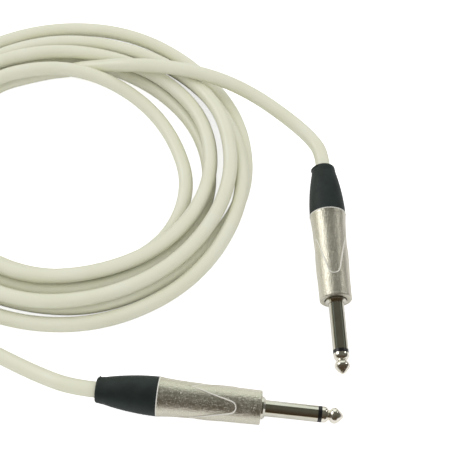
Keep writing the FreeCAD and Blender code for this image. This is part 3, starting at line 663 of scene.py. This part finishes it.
def card(nodes, links, direction, facing, edge, full):
    """A mask of the directions round a given one: 0 outside the first cosine, 1 in the second."""
    near = nodes.new("ShaderNodeVectorMath")
    near.operation = "DOT_PRODUCT"
    near.inputs[1].default_value = facing
    links.new(direction, near.inputs[0])
    return rescale(nodes, links, near.outputs["Value"], edge, full)


sweep_behind = card(nodes, links, direction, facing=(0.0, 0.934, 0.358), edge=0.85, full=0.885)
front_card = card(nodes, links, direction, facing=(0.0, -1.0, 0.0), edge=0.985, full=0.994)
left_card = card(nodes, links, direction, facing=(-0.80, 0.42, 0.43), edge=0.985, full=0.996)
right_card = card(nodes, links, direction, facing=(0.78, 0.42, 0.46), edge=0.990, full=0.998)
side_cards = calculate(nodes, links, "MAXIMUM", left_card, right_card)
room_axes = nodes.new("ShaderNodeSeparateXYZ")
links.new(direction, room_axes.inputs["Vector"])
front_to_side = rescale(nodes, links, room_axes.outputs["Y"], -1.0, 0.0)
dark_room = blend(nodes, links, ROOM_IN_FRONT, ROOM_BEHIND, front_to_side)
with_side_cards = blend(nodes, links, dark_room, SIDE_CARD_COLOUR, side_cards)
with_front_card = blend(nodes, links, with_side_cards, FRONT_CARD_COLOUR, front_card)
room_seen = blend(nodes, links, with_front_card, SWEEP_COLOUR, sweep_behind)
metal_room = nodes.new("ShaderNodeBackground")
links.new(room_seen, metal_room.inputs["Color"])
soft_light = nodes["Background"]
vary(nodes, links, room_axes.outputs["Z"],
     [(0.0, grey(LIGHT_FROM_SIDES)), (1.0, grey(LIGHT_FROM_ABOVE))],
     soft_light.inputs["Color"])
white_backdrop = nodes.new("ShaderNodeBackground")
white_backdrop.inputs["Color"].default_value = grey(1.0)
studio_ray = nodes.new("ShaderNodeLightPath")
in_metal = nodes.new("ShaderNodeMixShader")
links.new(studio_ray.outputs["Is Glossy Ray"], in_metal.inputs[0])
links.new(soft_light.outputs["Background"], in_metal.inputs[1])
links.new(metal_room.outputs["Background"], in_metal.inputs[2])
in_view = nodes.new("ShaderNodeMixShader")
links.new(studio_ray.outputs["Is Camera Ray"], in_view.inputs[0])
links.new(in_metal.outputs["Shader"], in_view.inputs[1])
links.new(white_backdrop.outputs["Background"], in_view.inputs[2])
links.new(in_view.outputs["Shader"], nodes["World Output"].inputs["Surface"])

# Lamps: two square soft lamps behind the object, a broad one on the left and a small one on the
# right. They add sheen alone, because the room's light is all that lights the colours.
LAMP_DISTANCE = 1.2


def soft_lamp(name, bearing, width, power):
    """A soft lamp in a direction from the object, turned to face it."""
    lamp_data = bpy.data.lights.new(name, "AREA")
    lamp_data.shape = "SQUARE"
    lamp_data.size = width
    lamp_data.energy = power
    lamp = bpy.data.objects.new(name, lamp_data)
    way = mathutils.Vector(bearing).normalized()
    lamp.location = way * LAMP_DISTANCE
    lamp.rotation_euler = way.to_track_quat("Z", "Y").to_euler()
    lamp.visible_diffuse = False
    bpy.context.scene.collection.objects.link(lamp)
    return lamp


lamps = [
    soft_lamp("lamp_left", bearing=(-0.76, 0.42, 0.50), width=0.70, power=4.5),
    soft_lamp("lamp_right", bearing=(0.78, 0.42, 0.46), width=0.20, power=0.75),
]

# The polished sleeves are flagged from the lamps, so that they show only the room and its cards.
flagged = bpy.data.collections.new("flagged_from_lamps")
for plug in PLUG_PLACES:
    flagged.objects.link(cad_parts[plug + "_pin_sleeve"])
for entry in flagged.collection_objects:
    entry.light_linking.link_state = "EXCLUDE"
for lamp in lamps:
    lamp.light_linking.receiver_collection = flagged

# Camera: above and in front of the plugs, looking down along +Y at 59 degrees, with a long lens.
# Its place, pitch and lens were fitted so that both plugs lie on one table.
CAMERA_PLACE = (-0.25, -190.2, 374.19)
CAMERA_PITCH = 59.11
CAMERA_LENS = 79.47
CAMERA_SENSOR = 36.0
CAMERA_NEAR = 0.01
CAMERA_FAR = 20.0
camera_data = bpy.data.cameras.new("camera")
camera_data.sensor_width = CAMERA_SENSOR
camera_data.lens = CAMERA_LENS
camera_data.clip_start = CAMERA_NEAR
camera_data.clip_end = CAMERA_FAR
camera = bpy.data.objects.new("camera", camera_data)
camera.location = [value * MM for value in CAMERA_PLACE]
camera.rotation_euler = (math.radians(90.0 - CAMERA_PITCH), 0.0, 0.0)
bpy.context.scene.collection.objects.link(camera)
bpy.context.scene.camera = camera
bpy.context.scene.view_settings.view_transform = "Standard"
